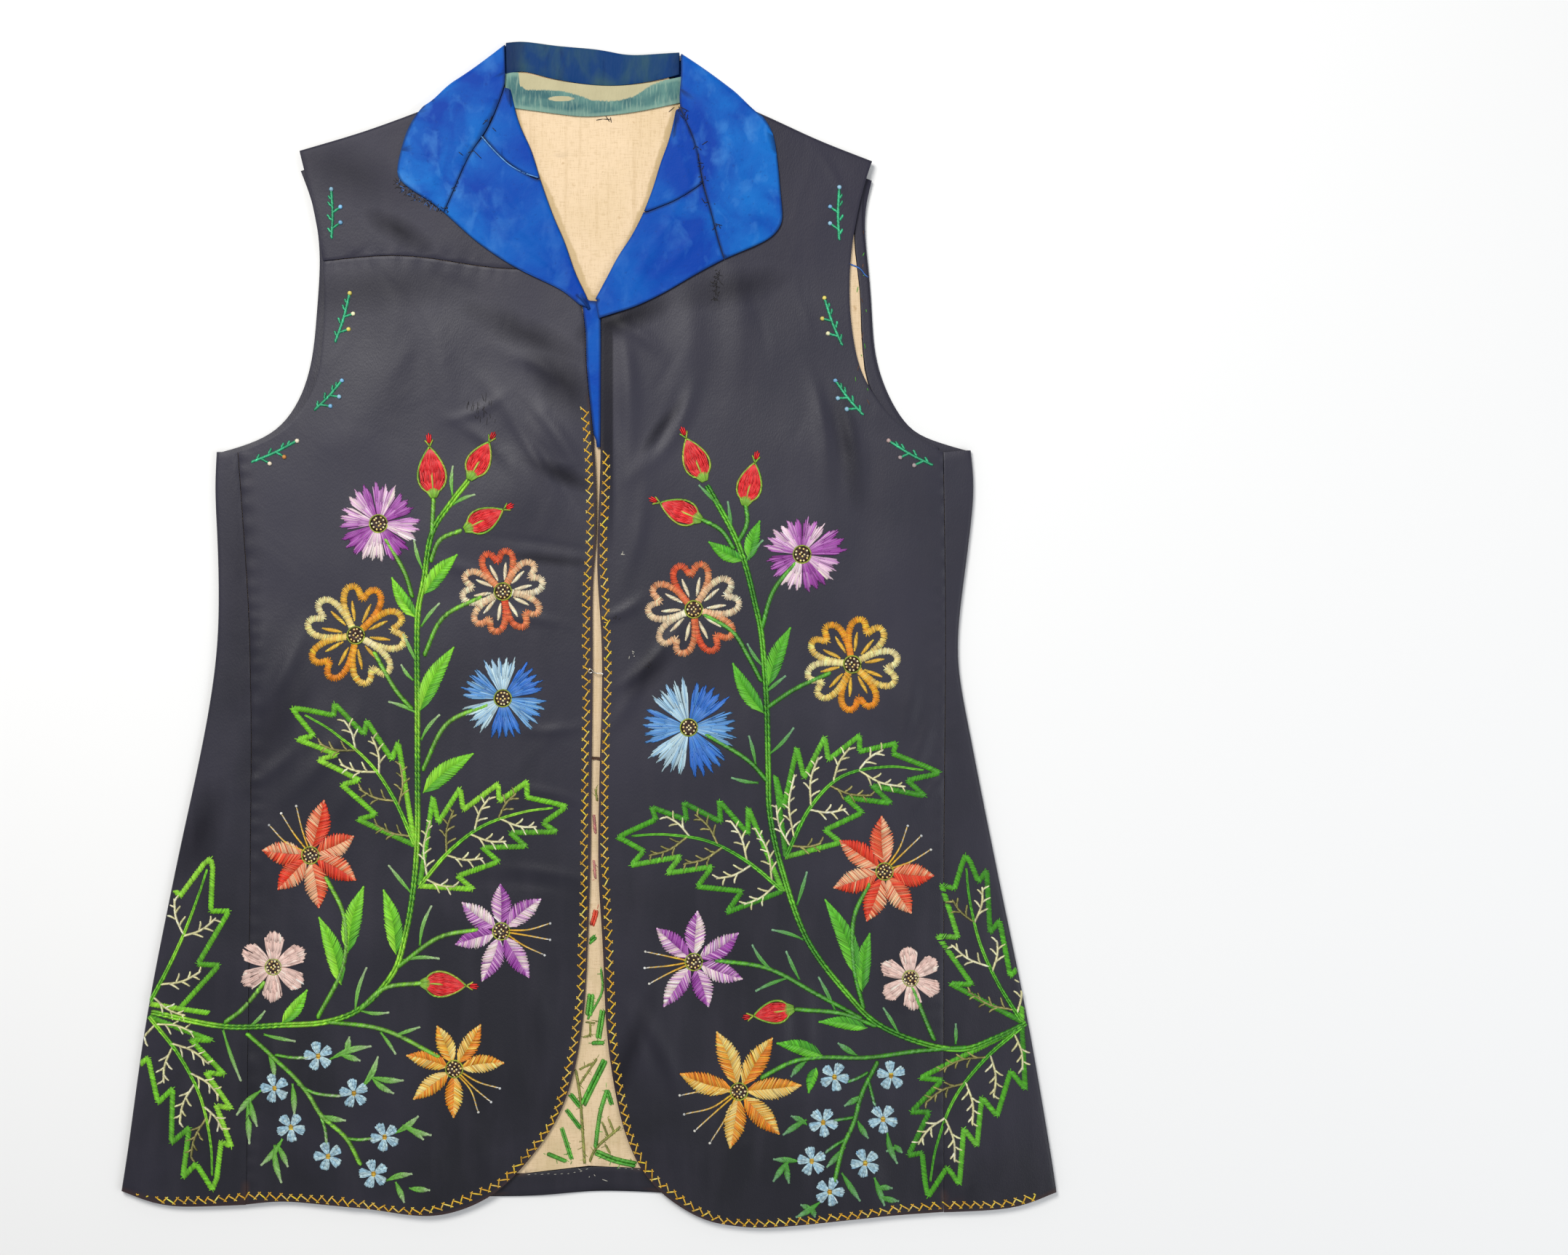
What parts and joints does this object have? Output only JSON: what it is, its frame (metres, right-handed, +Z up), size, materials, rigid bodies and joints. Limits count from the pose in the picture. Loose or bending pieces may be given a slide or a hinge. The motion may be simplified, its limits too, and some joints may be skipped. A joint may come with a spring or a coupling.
{
  "type": "embroidered waistcoat laid flat",
  "caption": "Sleeveless hip-length waistcoat laid flat and face up, dark satin with floral embroidery, blue turned-down collar and lapels and a cream lining.",
  "frame": {"origin": "centre of the rest face, under the middle of the waistcoat's outline", "axes": "+Y towards the collar, +X towards the wearer's left, +Z up from the surface through the layers"},
  "size_m": [0.5796, 0.7349, 0.0079],
  "materials": {
    "black_satin": "worn black silk satin with a soft sheen",
    "blue_silk": "royal blue silk, mottled, paler where it is rubbed",
    "cream_linen": "plain-woven unbleached linen, slightly stained",
    "teal_silk": "worn and split teal silk over cream interlining",
    "floss": "glossy embroidery silk in greens, reds, yellows, blues, purples and pinks",
    "wire": "thin tinned wire"
  },
  "bodies": {
    "root": {"back": "black_satin", "front_right": "black_satin", "front_right_yoke": "black_satin", "front_left": "black_satin", "back_hem_facing": "black_satin", "armhole_facing_left": "black_satin", "back_lining": "cream_linen", "collar": "blue_silk", "collar_band": "blue_silk", "lapel_right_upper": "blue_silk", "lapel_right_lower": "blue_silk", "lapel_left_upper": "blue_silk", "lapel_left_lower": "blue_silk", "front_facing_right": "blue_silk", "neck_facing": "teal_silk", "hook": "wire"}
  },
  "joints": []
}
